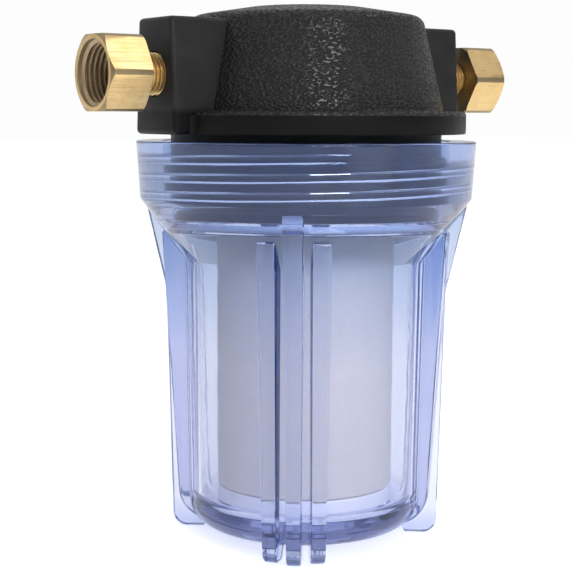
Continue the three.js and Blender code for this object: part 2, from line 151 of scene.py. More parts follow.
CENTRE_TUBE_R = 14.5
CENTRE_BORE_R = 10.2
CENTRE_BORE_TOP_Z = RIM_Z + 26
SEAT_R = 24.0
SEAT_BOTTOM_Z = RIM_Z + 5.1
SEAT_TOP_Z = RIM_Z + 9
HEAD_SPIGOT_R = 12.0
HEAD_SPIGOT_BOTTOM_Z = RIM_Z - 5
SHEATH_SOCKET_R = 8.35
SHEATH_SOCKET_TOP_Z = RIM_Z + 37.3

HEX_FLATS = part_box("inlet_adaptor")[1].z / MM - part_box("inlet_adaptor")[0].z / MM
HEX_LENGTH = 14.6
HEX_BAR_R = 13.4
HEX_INNER_EDGE = 0.4
HEX_OUTER_EDGE = 0.8
NECK_MAJOR_R = 6.85
NECK_MINOR_R = 5.9
NECK_PITCH = 1.411
NECK_ENGAGED = 9.5
ADAPTOR_BORE_R = 4.2
TURNED_SLOT = 1                 # of an adaptor's three materials
INSIDE_SLOT = 2
SOCKET_MAJOR_R = 10.5
SOCKET_MINOR_R = 9.35
SOCKET_PITCH = 1.814
SOCKET_DEPTH = 12.0

CAP_SKIRT_R = 24.3              # the bottom cap's skirt stands round the floor gasket
CAP_RECESS_TOP_Z = 15.1
CAP_BORE_R = 12.4
SLEEVE_BORE_R = 16.3
FLOOR_GASKET_INNER_R = 14.0
TOP_GASKET_INNER_R = 12.7
SEAL_SECTION_R = 1.95
SEAL_SQUEEZE = 0.86             # the seal's height as a share of its width

# ---- finish --------------------------------------------------------------------------------------------

CLEAR_TINT = (0.89, 0.90, 0.945, 1)     # of the bowl's surface
COLLAR_PAINTED_SHADE = (0.54, 0.66, 0.84, 1)     # painted shade: the same surface made darker and bluer at the collar, under the head
FOOT_TINT = (0.66, 0.71, 0.86, 1)       # of the same surface at the feet
FOOT_TINT_Z = (2.0, 10.0)               # where the foot's tint fades into the body's
DEPTH_TINT = (0.44, 0.50, 0.79, 1)      # of light that goes through the bowl's wall
DEPTH_TINT_DENSITY = 30.0               # per metre
HAZE_COLOUR = (0.10, 0.24, 0.74, 1)
HAZE_SHARE = 0.055
COLLAR_SHADE_FROM_Z = RIM_Z - 75                # the collar's painted shade fades in from here
COLLAR_SHADE_TO_Z = RIM_Z - 15              # up to here
FLOOR_HALF_SIZE = 6.0                   # metres
FLOOR_GLOW = 0.45
SKY_HORIZON = 0.8                       # brightness level with the object
SKY_ZENITH = 1.25                       # brightness overhead
SKY_CAMERA_SIDE = 0.3                   # of its brightness elsewhere
SKY_RIGHT_SIDE = 0.6
LAMPS = (                               # metres to the right, away and up; aim height; size; watts
    ("key", (0.28, -0.85, 0.6), 0.14, (0.5, 0.3), 5.0),
    ("high", (0.6, -0.05, 0.95), 0.16, (0.3, 0.3), 1.0),
    ("fill", (0.6, -0.7, 0.12), 0.06, (0.5, 0.5), 0.35),
)
GRAIN_PER_MM = 1.35
GRAIN_TURN = math.radians(24)           # the wrinkles' slant
GRAIN_STRETCH = (0.6, 1.05, 0.8)        # along a wrinkle, across it and into the plastic
GRAIN_DEPTH = 0.28                      # millimetres

# ---- camera ------------------------------------------------------------------------------------------------

VIEW_AZIMUTH = math.radians(35.5)   # the outlet side goes back into the picture by this angle
VIEW_DISTANCE = 478.0
VIEW_HEIGHT = RIM_Z + 9.6
VIEW_SIDE = 6.6
VIEW_PITCH = math.radians(7.27)
VIEW_ROLL = math.radians(0.2)
LENS = 85.6


def make_camera():
    right = Vector((math.cos(VIEW_AZIMUTH), -math.sin(VIEW_AZIMUTH), 0))
    away = Vector((math.sin(VIEW_AZIMUTH), math.cos(VIEW_AZIMUTH), 0))
    up = Vector((0, 0, 1))
    forward = away * math.cos(VIEW_PITCH) - up * math.sin(VIEW_PITCH)
    picture_up = up * math.cos(VIEW_PITCH) + away * math.sin(VIEW_PITCH)
    picture_right = right * math.cos(VIEW_ROLL) + picture_up * math.sin(VIEW_ROLL)
    picture_up = picture_up * math.cos(VIEW_ROLL) - right * math.sin(VIEW_ROLL)
    place = (away * -VIEW_DISTANCE - right * VIEW_SIDE + up * VIEW_HEIGHT) * MM
    data = bpy.data.cameras.new("camera")
    data.lens = LENS
    data.sensor_width = 36.0
    camera = bpy.data.objects.new("camera", data)
    turn = Matrix((picture_right, picture_up, -forward)).transposed()
    camera.matrix_world = Matrix.Translation(place) @ turn.to_4x4()
    bpy.context.scene.collection.objects.link(camera)
    bpy.context.scene.camera = camera


make_camera()

# ---- mesh tools --------------------------------------------------------------------------------------------


def rounded(corners, steps=6):
    """An open outline of (r, z, rounding) corners with each corner's rounding made into an arc."""
    out = []
    for i, (r, z, radius) in enumerate(corners):
        here = Vector((r, z))
        if radius == 0 or i in (0, len(corners) - 1):
            out.append((r, z))
            continue
        before = (Vector(corners[i - 1][:2]) - here).normalized()
        after = (Vector(corners[i + 1][:2]) - here).normalized()
        half = math.acos(max(-1, min(1, before.dot(after)))) / 2
        centre = here + (before + after).normalized() * (radius / math.sin(half))
        start = here + before * (radius / math.tan(half)) - centre
        end = here + after * (radius / math.tan(half)) - centre
        sweep = start.angle_signed(end)
        for k in range(steps + 1):
            # angle_signed counts clockwise as positive, so the turn is taken the other way
            turn = -sweep * k / steps
            cos, sin = math.cos(turn), math.sin(turn)
            out.append((centre.x + start.x * cos - start.y * sin, centre.y + start.x * sin + start.y * cos))
    return out


def arc(centre_r, centre_z, radius, start, end, steps):
    """Points of a circle from one angle to another, in degrees."""
    turn = [math.radians(start + (end - start) * i / steps) for i in range(steps + 1)]
    return [(centre_r + radius * math.cos(a), centre_z + radius * math.sin(a)) for a in turn]


def new_object(name, bm):
    """Makes a mesh that was built in millimetres an object in metres."""
    bmesh.ops.scale(bm, vec=(MM, MM, MM), verts=bm.verts)
    mesh = bpy.data.meshes.new(name)
    bm.to_mesh(mesh)
    bm.free()
    obj = bpy.data.objects.new(name, mesh)
    bpy.context.scene.collection.objects.link(obj)
    return obj


def shade(obj, angle=28):
    """Shades the object smooth, except across edges that turn by more than the angle in degrees."""
    bm = bmesh.new()
    bm.from_mesh(obj.data)
    bmesh.ops.remove_doubles(bm, verts=bm.verts, dist=1e-7)
    for face in bm.faces:
        face.smooth = True
    limit = math.radians(angle)
    for edge in bm.edges:
        edge.smooth = len(edge.link_faces) == 2 and edge.calc_face_angle(0) < limit
    bm.to_mesh(obj.data)
    bm.free()


def revolved(name, outline, steps=FINE, slots=None):
    """Turns an outline about the Z axis. One that doesn't start and end on the axis is joined to itself.
    slots(r, z), if given, is the material slot of the band whose middle is there."""
    bm = bmesh.new()
    on_axis = outline[0][0] == 0 and outline[-1][0] == 0
    rows = []
    for r, z in outline:
        if r == 0:
            rows.append([bm.verts.new((0, 0, z))] * steps)
        else:
            turn = [2 * math.pi * i / steps for i in range(steps)]
            rows.append([bm.verts.new((r * math.cos(a), r * math.sin(a), z)) for a in turn])
    bands = len(rows) - 1 if on_axis else len(rows)
    for j in range(bands):
        low, high = rows[j], rows[(j + 1) % len(rows)]
        r = (outline[j][0] + outline[(j + 1) % len(rows)][0]) / 2
        z = (outline[j][1] + outline[(j + 1) % len(rows)][1]) / 2
        for i in range(steps):
            k = (i + 1) % steps
            corners = list(dict.fromkeys((low[i], low[k], high[k], high[i])))
            face = bm.faces.new(corners)
            face.material_index = slots(r, z) if slots else 0
    return new_object(name, bm)


def prism(name, outline, depth, centred=True):
    """A closed outline in X and Y made into a solid of this depth along Z."""
    bm = bmesh.new()
    base = [bm.verts.new((x, y, -depth / 2 if centred else 0)) for x, y in outline]
    face = bm.faces.new(base)
    made = bmesh.ops.extrude_face_region(bm, geom=[face])
    top = [v for v in made["geom"] if isinstance(v, bmesh.types.BMVert)]
    bmesh.ops.translate(bm, vec=(0, 0, depth), verts=top)
    bmesh.ops.recalc_face_normals(bm, faces=bm.faces)
    return new_object(name, bm)


def wound(name, section, lead, turns, top_z, top_angle, steps, run_out):
    """A ridge wound downwards along a right-hand helix. section is a closed outline of (r, height), and its
    first point's radius is where both ends run out to."""
    bm = bmesh.new()
    count = round(turns * steps)
    rings = []
    for i in range(count + 1):
        turn = turns * i / count
        rise = max(0.03, min(1, min(turn, turns - turn) / run_out))
        angle = top_angle - 2 * math.pi * turn
        ring = []
        for r, height in section:
            at = section[0][0] + (r - section[0][0]) * rise
            ring.append(bm.verts.new((at * math.cos(angle), at * math.sin(angle),
                                      top_z - lead * turn + height)))
        rings.append(ring)
    for a, b in zip(rings, rings[1:]):
        for j in range(len(section)):
            k = (j + 1) % len(section)
            bm.faces.new((a[j], a[k], b[k], b[j]))
    bm.faces.new(rings[0])
    bm.faces.new(rings[-1][::-1])
    bmesh.ops.recalc_face_normals(bm, faces=bm.faces)
    return new_object(name, bm)


def ridge_section(root_r, tip_r, root_width, tip_width, rounding=0.25):
    """The trapezoid of a thread ridge, with its two tip corners rounded."""
    return rounded([(root_r, -root_width / 2, 0), (tip_r, -tip_width / 2, rounding),
                    (tip_r, tip_width / 2, rounding), (root_r, root_width / 2, 0)], steps=3)


def bevelled(obj, width, segments=3, angle=35):
    bevel = obj.modifiers.new("bevel", "BEVEL")
    bevel.width = width * MM
    bevel.segments = segments
    bevel.limit_method = "ANGLE"
    bevel.angle_limit = math.radians(angle)
    return applied(obj)


def applied(obj):
    """Bakes the object's modifiers into its mesh."""
    depsgraph = bpy.context.evaluated_depsgraph_get()
    mesh = bpy.data.meshes.new_from_object(obj.evaluated_get(depsgraph))
    obj.modifiers.clear()
    obj.data = mesh
    return obj


def combine(obj, others, operation):
    """Joins the others to obj, cuts them from it or keeps what they share, and removes them."""
    for other in others:
        step = obj.modifiers.new("solid", "BOOLEAN")
        step.solver = "MANIFOLD"
        step.operation = operation
        step.object = other
        applied(obj)
        bpy.data.objects.remove(other)
    return obj


def cylinder(name, radius, low, high, steps=MEDIUM):
    return revolved(name, [(0, low), (radius, low), (radius, high), (0, high)], steps)


def along_ports(obj, side=1, x=0.0):
    """Turns a piece made along +Z so that it runs along +X or -X, at the height of the ports."""
    turn = Matrix.Rotation(side * math.pi / 2, 4, "Y")
    obj.data.transform(Matrix.Translation((x * MM, 0, PORT_Z * MM)) @ turn)
    return obj


def port_cylinder(radius, from_x, to_x):
    return along_ports(cylinder("cutter", radius, from_x, to_x))


# ---- material tools ----------------------------------------------------------------------------------------


def srgb(r, g, b, a=1.0):
    """A colour given as 0 to 255 display values."""
    def linear(c):
        c /= 255
        return c / 12.92 if c <= 0.04045 else ((c + 0.055) / 1.055) ** 2.4
    return (linear(r), linear(g), linear(b), a)


class Look:
    """A node material with one Principled shader, and short ways to add to it."""

    def __init__(self, name, **values):
        self.material = bpy.data.materials.new(name)
        self.material.use_nodes = True
        self.nodes = self.material.node_tree.nodes
        self.links = self.material.node_tree.links
        self.shader = self.nodes["Principled BSDF"]
        self.output = self.nodes["Material Output"]
        for key, value in values.items():
            self.shader.inputs[key.replace("_", " ")].default_value = value
        self.place = self.add("ShaderNodeTexCoord").outputs["Object"]

    def add(self, kind, **settings):
        node = self.nodes.new(kind)
        for key, value in settings.items():
            setattr(node, key, value)
        return node

    def link(self, source, target):
        self.links.new(source, target)

    def stretched(self, x, y, z):
        """Object coordinates in millimetres, stretched along each axis."""
        mapping = self.add("ShaderNodeMapping")
        mapping.inputs["Scale"].default_value = (x / MM, y / MM, z / MM)
        self.link(self.place, mapping.inputs["Vector"])
        return mapping.outputs["Vector"]

    def noise(self, per_mm, detail=3.0, roughness=0.55, stretch=(1, 1, 1)):
        return self.noise_at(self.stretched(*[per_mm * s for s in stretch]), detail, roughness)

    def slanted(self, per_mm, turn, stretch):
        """Coordinates round the Z axis and up it, in the grain's own size, turned by an angle and stretched.
        Each row of the grain is a line on the unrolled barrel."""
        apart = self.add("ShaderNodeSeparateXYZ")
        self.link(self.place, apart.inputs[0])
        round_turn = self.maths("ARCTAN2", apart.outputs["Y"], apart.outputs["X"])
        across = self.maths("MULTIPLY", round_turn, BARREL_LOW_R * MM)
        x_squared = self.maths("MULTIPLY", apart.outputs["X"], apart.outputs["X"])
        y_squared = self.maths("MULTIPLY", apart.outputs["Y"], apart.outputs["Y"])
        distance = self.maths("SQRT", self.maths("ADD", x_squared, y_squared), 0.0)
        joined = self.add("ShaderNodeCombineXYZ")
        self.link(across, joined.inputs["X"])
        self.link(apart.outputs["Z"], joined.inputs["Y"])
        self.link(distance, joined.inputs["Z"])
        turned = self.add("ShaderNodeMapping")
        turned.inputs["Rotation"].default_value = (0, 0, turn)
        turned.inputs["Scale"].default_value = tuple(per_mm * s / MM for s in stretch)
        self.link(joined.outputs[0], turned.inputs["Vector"])
        return turned.outputs["Vector"]

    def noise_at(self, place, detail=3.0, roughness=0.55):
        texture = self.add("ShaderNodeTexNoise")
        self.link(place, texture.inputs["Vector"])
        texture.inputs["Scale"].default_value = 1.0
        texture.inputs["Detail"].default_value = detail
        texture.inputs["Roughness"].default_value = roughness
        return texture.outputs["Fac"]

    def between_heights(self, low, high):
        """0 below one height and 1 above the other, in millimetres."""
        apart = self.add("ShaderNodeSeparateXYZ")
        self.link(self.place, apart.inputs[0])
        share = self.add("ShaderNodeMapRange")
        share.inputs["From Min"].default_value = low * MM
        share.inputs["From Max"].default_value = high * MM
        self.link(apart.outputs["Z"], share.inputs["Value"])
        return share.outputs[0]

    def ramp(self, source, *stops):
        """Maps a value to colours or greys. Each stop is (position, grey) or (position, colour)."""
        ramp = self.add("ShaderNodeValToRGB")
        elements = ramp.color_ramp.elements
        while len(elements) < len(stops):
            elements.new(0.5)
        for element, (position, value) in zip(elements, stops):
            element.position = position
            element.color = value if isinstance(value, tuple) else (value, value, value, 1)
        self.link(source, ramp.inputs["Fac"])
        return ramp.outputs["Color"]

    def mix(self, share, a, b):
        mix = self.add("ShaderNodeMix", data_type="RGBA")
        for socket, value in ((mix.inputs["Factor"], share), (mix.inputs[6], a), (mix.inputs[7], b)):
            if isinstance(value, bpy.types.NodeSocket):
                self.link(value, socket)
            else:
                socket.default_value = value
        return mix.outputs[2]

    def maths(self, operation, a, b):
        node = self.add("ShaderNodeMath", operation=operation)
        for socket, value in zip(node.inputs, (a, b)):
            if isinstance(value, bpy.types.NodeSocket):
                self.link(value, socket)
            else:
                socket.default_value = value
        return node.outputs[0]

    def bump(self, height, depth_mm, strength=1.0, after=None):
        bump = self.add("ShaderNodeBump")
        bump.inputs["Strength"].default_value = strength
        bump.inputs["Distance"].default_value = depth_mm * MM
        self.link(height, bump.inputs["Height"])
        if after:
            self.link(after, bump.inputs["Normal"])
        return bump.outputs["Normal"]

    def set(self, name, source):
        self.link(source, self.shader.inputs[name])


def smooth_black_plastic():
    look = Look("head_smooth_plastic", IOR=1.46, Specular_IOR_Level=0.15)
    mottle = look.noise(0.08, detail=4)
    # painted shade: below the flange's top edge the same plastic is painted much darker than the port blocks
    # above it
    block = look.ramp(mottle, (0.3, srgb(33, 33, 34)), (0.75, srgb(43, 43, 44)))
    flange = look.ramp(mottle, (0.3, srgb(5, 5, 5)), (0.75, srgb(13, 13, 14)))
    look.set("Base Color", look.mix(look.between_heights(FLANGE_TOP_Z - 1, FLANGE_TOP_Z + 1), flange, block))
    look.set("Roughness", look.ramp(look.noise(0.15, detail=5), (0.3, 0.36), (0.75, 0.52)))
    look.set("Normal", look.bump(look.noise(3.0, detail=2), 0.012))
    return look.material


def grained_black_plastic():
    """The same plastic with a leather grain: short wrinkles on a slant, with a painted highlight on their
    tops and painted shade in their creases.
    """
    look = Look("head_grained_plastic", IOR=1.46, Specular_IOR_Level=0.42)
    slant = look.slanted(GRAIN_PER_MM, GRAIN_TURN, GRAIN_STRETCH)
    wrinkles = look.ramp(look.noise_at(slant, detail=1.0, roughness=0.4), (0.38, 0.0), (0.62, 1.0))
    patches = look.noise(0.05, detail=3)
    # painted highlight on the wrinkles' tops, in patches of random tone; the creases get painted shade
    painted_highlight_tops = look.ramp(patches, (0.35, srgb(18, 18, 19)), (0.65, srgb(28, 28, 29)))
    look.set("Base Color", look.mix(wrinkles, srgb(4, 4, 4), painted_highlight_tops))
    look.set("Normal", look.bump(wrinkles, GRAIN_DEPTH))
    look.set("Roughness", look.ramp(wrinkles, (0.0, 0.7), (1.0, 0.27)))
    return look.material


def clear_plastic():
    """Clear moulding with a blue-violet tint and a slight blue haze. Lamps shine through it."""
    look = Look("bowl_clear_plastic", IOR=1.5, Transmission_Weight=1.0)
    # painted shade: the surface colour turns darker and bluer up the body towards the collar, under the head
    upper = look.mix(look.between_heights(COLLAR_SHADE_FROM_Z, COLLAR_SHADE_TO_Z), CLEAR_TINT, COLLAR_PAINTED_SHADE)
    look.set("Base Color", look.mix(look.between_heights(*FOOT_TINT_Z), FOOT_TINT, upper))
    look.set("Roughness", look.ramp(look.noise(0.05, detail=4), (0.35, 0.03), (0.8, 0.08)))
    look.set("Normal", look.bump(look.noise(0.09, detail=2), 0.05))
    depth_tint = look.add("ShaderNodeVolumeAbsorption")
    depth_tint.inputs["Color"].default_value = DEPTH_TINT
    depth_tint.inputs["Density"].default_value = DEPTH_TINT_DENSITY
    look.link(depth_tint.outputs[0], look.output.inputs["Volume"])
    haze = look.add("ShaderNodeBsdfDiffuse")
    haze.inputs["Color"].default_value = HAZE_COLOUR
    hazy = look.add("ShaderNodeMixShader")
    streaks = look.noise(1.0, detail=3, stretch=(0.12, 0.12, 0.012))
    share = look.ramp(streaks, (0.3, HAZE_SHARE * 0.7), (0.7, HAZE_SHARE * 1.3))
    look.link(share, hazy.inputs["Fac"])
    look.link(look.shader.outputs[0], hazy.inputs[1])
    look.link(haze.outputs[0], hazy.inputs[2])
    through = look.add("ShaderNodeBsdfTransparent")
    through.inputs["Color"].default_value = srgb(232, 236, 250)
    path = look.add("ShaderNodeLightPath")
    blend = look.add("ShaderNodeMixShader")
    look.link(path.outputs["Is Shadow Ray"], blend.inputs["Fac"])
    look.link(hazy.outputs[0], blend.inputs[1])
    look.link(through.outputs[0], blend.inputs[2])
    look.link(blend.outputs[0], look.output.inputs["Surface"])
    return look.material


def brass(name, pale, dark, roughness, grain):
    """Machined brass. grain is how the tool marks are stretched along X, Y and Z."""
    look = Look(name, Metallic=1.0)
    marks = look.noise(1.0, detail=4, stretch=grain)
    patches = look.noise(0.12, detail=3)
    colour = look.mix(look.ramp(patches, (0.35, 0.0), (0.7, 1.0)), pale, dark)
    worn = look.mix(look.ramp(marks, (0.5, 0.0), (0.7, 0.4)), colour, tuple(c * 0.7 for c in dark[:3]) + (1,))
    look.set("Base Color", worn)
    look.set("Roughness", look.ramp(marks, (0.3, roughness), (0.7, roughness + 0.16)))
    waves = look.noise(0.25, detail=2)
    look.set("Normal", look.bump(marks, 0.03, after=look.bump(waves, 0.1)))
    return look.material


def steel(name, base, roughness):
    look = Look(name, Metallic=1.0)
    turned = look.noise(1.0, detail=3, stretch=(0.1, 0.1, 6.0))
    look.set("Base Color", look.mix(look.noise(0.2), base, tuple(c * 0.88 for c in base[:3]) + (1,)))
    look.set("Roughness", look.ramp(turned, (0.3, roughness), (0.7, roughness + 0.14)))
    look.set("Normal", look.bump(turned, 0.008))
    return look.material


def rubber(name, base, roughness=0.55):
    look = Look(name)
    speck = look.noise(2.0, detail=3)
    look.set("Base Color", look.mix(speck, base, tuple(min(1, c * 1.35) for c in base[:3]) + (1,)))
    look.set("Roughness", look.ramp(speck, (0.3, roughness), (0.7, roughness + 0.15)))
    look.set("Normal", look.bump(speck, 0.02))
    return look.material


def pale_silicone():
    look = Look("seal_silicone", IOR=1.41, Subsurface_Weight=0.4, Subsurface_Scale=0.003)
    speck = look.noise(1.0, detail=3)
    look.set("Base Color", look.mix(speck, srgb(214, 218, 230), srgb(232, 234, 240)))
    look.set("Roughness", look.ramp(speck, (0.3, 0.3), (0.7, 0.42)))
    look.set("Normal", look.bump(speck, 0.01))
    return look.material


def filter_fibre():
    """Melt-blown fibre: soft, matt and white, with fine strands laid round it."""
    look = Look("filter_fibre", Subsurface_Weight=0.3, Subsurface_Scale=0.002, Roughness=0.85)
    strands = look.noise(1.0, detail=5, roughness=0.7, stretch=(0.5, 0.5, 3.5))
    tufts = look.noise(0.35, detail=4)
    look.set("Base Color", look.mix(tufts, srgb(214, 207, 194), srgb(228, 221, 208)))
    look.set("Normal", look.bump(strands, 0.06, after=look.bump(tufts, 0.15)))
    return look.material


def white_plastic():
    look = Look("cap_white_plastic")
    mottle = look.noise(0.2, detail=4)
    look.set("Base Color", look.mix(mottle, srgb(232, 233, 236), srgb(244, 244, 244)))
    look.set("Roughness", look.ramp(mottle, (0.3, 0.35), (0.7, 0.5)))
    look.set("Normal", look.bump(look.noise(2.0), 0.01))
    return look.material


SMOOTH_BLACK = smooth_black_plastic()
GRAINED_BLACK = grained_black_plastic()
CLEAR = clear_plastic()
BRASS = brass("brass_drawn", (0.74, 0.54, 0.27, 1), (0.64, 0.44, 0.19, 1), 0.26, (0.07, 3.0, 3.0))
# painted shade: the turned ends, chamfers and corner lands get the same brass painted much darker than the
# drawn flats
BRASS_TURNED_PAINTED_SHADE = brass("brass_turned_painted_shade", (0.34, 0.26, 0.15, 1), (0.27, 0.21, 0.12, 1), 0.34, (2.0, 0.15, 0.15))
# painted shade: the socket's bore and thread get the same brass painted darker and greyer
BRASS_INSIDE_PAINTED_SHADE = brass("brass_inside_painted_shade", (0.50, 0.39, 0.26, 1), (0.40, 0.31, 0.20, 1), 0.42, (1.5, 0.3, 0.3))
FIBRE = filter_fibre()
CAP_WHITE = white_plastic()
BLACK_RUBBER = rubber("gasket_rubber", srgb(26, 26, 27))
SILICONE = pale_silicone()
STAINLESS = steel("sheath_stainless", (0.70, 0.71, 0.73, 1), 0.2)
NICKEL = steel("magnet_nickel", (0.66, 0.64, 0.59, 1), 0.24)
POLE_STEEL = steel("pole_disc_steel", (0.40, 0.41, 0.44, 1), 0.3)


def finish_piece(obj, node, body, slot, *materials, sharp=28):
    """Shades a piece, gives it its materials and puts it in the place of its CAD node."""
    shade(obj, sharp)
    slots = obj.data.materials
    while len(slots) < len(materials):
        slots.append(None)
    for i, material in enumerate(materials):
        slots[i] = material
    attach(obj, body)
    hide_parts(node)


# ---- clear bowl --------------------------------------------------------------------------------------------


def bowl_shell():
    outside = [
        (0, BASE_RECESS_Z, 0),
        (BASE_RECESS_R, BASE_RECESS_Z, 2),
        (BODY_LOW_R - BASE_CORNER_R - 0.8, BASE_Z, 0.5),
        (BODY_LOW_R, BASE_Z, BASE_CORNER_R),
        (BODY_TOP_R, CONE_LOW_Z, 3),
        (COLLAR_LOW_R, COLLAR_LOW_Z, 0.8),
        (COLLAR_TOP_R, RIM_Z, 0.7),
        (THREAD_BORE_R, RIM_Z, 0.8),
        (THREAD_BORE_R, SEAL_BORE_TOP_Z, 0.3),
        (SEAL_BORE_R, SEAL_BORE_TOP_Z - 0.8, 0.3),
        (SEAL_BORE_R, SEAL_LEDGE_Z, 0.4),
        (LEDGE_INNER_R, SEAL_LEDGE_Z, 0.8),
        (BODY_TOP_R - BOWL_WALL, CONE_LOW_Z, 4),
        (BODY_LOW_R - BOWL_WALL, FLOOR_Z, 5),
        (SPIGOT_OUTER_R, FLOOR_Z, 0.8),
        (SPIGOT_OUTER_R, SPIGOT_TOP_Z, 0.5),
        (SPIGOT_INNER_R, SPIGOT_TOP_Z, 0.5),
        (SPIGOT_INNER_R, FLOOR_Z, 0.8),
        (0, FLOOR_Z, 0),
    ]
    return revolved("bowl_clear", rounded(outside, steps=7))


def bowl_rib(angle, with_gusset, with_foot):
    """One upright rib with rounded edges, thinner towards its foot."""
    inside_r = BODY_LOW_R - BOWL_WALL / 2
    low_r = GUSSET_LOW_R if with_gusset else RIB_LOW_R
    if with_gusset:
        top = [(*GUSSET_END, 8), (*GUSSET_TOP, 0), (COLLAR_LOW_R - 8, GUSSET_TOP[1], 0)]
    else:
        top = [(RIB_TOP_R, RIB_TOP_Z, 1.5), (RIB_TOP_R - 5, RIB_TOP_Z, 0)]
    if with_foot:
        bottom = [(FOOT_INNER_R, 0, 1.2), (low_r, 0, FOOT_CORNER_R)]
    else:
        curve = arc(low_r - RIB_END_R, RIB_END_Z + RIB_END_R, RIB_END_R, -RIB_END_SWEEP, 0, 10)
        bottom = [(r, z, 0) for r, z in curve]
    outline = rounded([
        (FOOT_HEEL_R, BASE_Z + 2.4, 0),
        *bottom,
        *top,
        (BODY_TOP_R - 1, CONE_LOW_Z + 2, 0),
        (inside_r, BASE_Z + BASE_CORNER_R + 2, 0),
        (inside_r - 3, BASE_Z + 5, 0),
    ], steps=6)
    plate = prism("rib", outline, 1 / MM)
    for vertex in plate.data.vertices:
        share = vertex.co.y / (RIB_TOP_Z * MM)
        width = RIB_FOOT_THICKNESS + (RIB_TOP_THICKNESS - RIB_FOOT_THICKNESS) * share
        vertex.co.z *= width * MM
    bevelled(plate, RIB_EDGE)
    upright = Matrix.Rotation(math.pi / 2, 4, "X")
    plate.data.transform(Matrix.Rotation(angle, 4, "Z") @ upright)
    return plate


def make_bowl():
    bowl = bowl_shell()
    ribs = []
    for group in range(RIB_GROUPS):
        for i in range(RIBS_PER_GROUP):
            offset = i - (RIBS_PER_GROUP - 1) / 2
            angle = RIB_GROUP_START + group * 2 * math.pi / RIB_GROUPS + offset * RIB_SPACING
            middle = offset == 0
            flank_group = group % 2 == 1        # its outer ribs end without feet
            ribs.append(bowl_rib(angle, with_gusset=middle, with_foot=middle or not flank_group))
    section = ridge_section(THREAD_BORE_R + THREAD_BURY, BOWL_THREAD_TIP_R,
                            THREAD_ROOT_WIDTH, THREAD_TIP_WIDTH)
    ridge = wound("ridge", section, LEAD, BOWL_THREAD_TURNS, BOWL_THREAD_TOP_Z, BOWL_THREAD_TOP_ANGLE,
                  THREAD_STEPS, run_out=THREAD_RUN_OUT)
    combine(bowl, ribs + [ridge], "UNION")
    finish_piece(bowl, "bowl", "bowl", "clear_plastic", CLEAR)


# ---- head --------------------------------------------------------------------------------------------------


def head_outside():
    outline = rounded([
        (0, NECK_BOTTOM_Z, 0),
        (NECK_R, NECK_BOTTOM_Z, 0.8),
        (NECK_R, FLANGE_BOTTOM_Z, 0.4),
        (FLANGE_R, FLANGE_BOTTOM_Z, 0.5),
        (FLANGE_R, FLANGE_TOP_Z, FLANGE_EDGE_R),
        (BARREL_LOW_R, FLANGE_TOP_Z, 1.0),
        (BARREL_HIGH_R - 0.4, BARREL_TOP_Z, 4.2),
        (BARREL_HIGH_R / 2, HEAD_TOP_Z - 0.8, 20),
        (0, HEAD_TOP_Z, 0),
    ], steps=8)

    def grain(r, z):
        return 1 if z > FLANGE_TOP_Z - FLANGE_EDGE_R else 0

    return revolved("head_body", outline, slots=grain)


def port_block():
    """One tapered bar right through the barrel, with rounded edges."""
    low = FLANGE_BOTTOM_Z
    outline = [(-low, PORT_LOW_HALF), (-low, -PORT_LOW_HALF),
               (-PORT_BLOCK_TOP_Z, -PORT_TOP_HALF), (-PORT_BLOCK_TOP_Z, PORT_TOP_HALF)]
    bar = prism("port_block", outline, 2 * PORT_END_X)
    bar.data.transform(Matrix.Rotation(math.pi / 2, 4, "Y"))
    return bevelled(bar, PORT_EDGE_R, segments=4)


def flange_corner(x_side, y_side):
    """The hollow corner that leads the flange's edge into the side of the port block."""
    centre_y = PORT_LOW_HALF + FLANGE_CORNER_R
    centre_x = math.sqrt((FLANGE_R + FLANGE_CORNER_R) ** 2 - centre_y ** 2)
    turn = math.degrees(math.atan2(centre_y, centre_x))
    inside = FLANGE_R - 2
    outline = [
        (inside * math.cos(math.radians(turn)), PORT_LOW_HALF - 2),
        (centre_x, PORT_LOW_HALF - 2),
        *arc(centre_x, centre_y, FLANGE_CORNER_R, -90, turn - 180, 8),
        (inside * math.cos(math.radians(turn)), inside * math.sin(math.radians(turn))),
    ]
    depth = FLANGE_TOP_Z - FLANGE_EDGE_R - FLANGE_BOTTOM_Z
    corner = prism("corner", [(x * x_side, y * y_side) for x, y in outline], depth, centred=False)
    corner.data.transform(Matrix.Translation((0, 0, FLANGE_BOTTOM_Z * MM)))
    return corner


def head_chamber():
    return revolved("cutter", rounded([
        (0, NECK_BOTTOM_Z - 1, 0),
        (NECK_INNER_R, NECK_BOTTOM_Z - 1, 0),
        (NECK_INNER_R, CHAMBER_SHOULDER_Z, 3),
        (CHAMBER_HIGH_R, CHAMBER_ROOF_Z, 3),
        (0, CHAMBER_ROOF_Z, 0),
    ]))


def head_centre():
    return revolved("centre", rounded([
        (0, HEAD_SPIGOT_BOTTOM_Z, 0),
        (HEAD_SPIGOT_R, HEAD_SPIGOT_BOTTOM_Z, 0.8),
        (HEAD_SPIGOT_R, SEAT_BOTTOM_Z, 0.4),
        (SEAT_R, SEAT_BOTTOM_Z, 0.6),
        (SEAT_R, SEAT_TOP_Z, 0.6),
        (CENTRE_TUBE_R, SEAT_TOP_Z, 1.0),
        (CENTRE_TUBE_R, CHAMBER_ROOF_Z + 1, 0),
        (0, CHAMBER_ROOF_Z + 1, 0),
    ]), MEDIUM)


def head_centre_bore():
    return revolved("cutter", [
        (0, HEAD_SPIGOT_BOTTOM_Z - 1),
        (CENTRE_BORE_R, HEAD_SPIGOT_BOTTOM_Z - 1),
        (CENTRE_BORE_R, CENTRE_BORE_TOP_Z),
        (SHEATH_SOCKET_R, CENTRE_BORE_TOP_Z),
        (SHEATH_SOCKET_R, SHEATH_SOCKET_TOP_Z),
        (0, SHEATH_SOCKET_TOP_Z),
    ], MEDIUM)


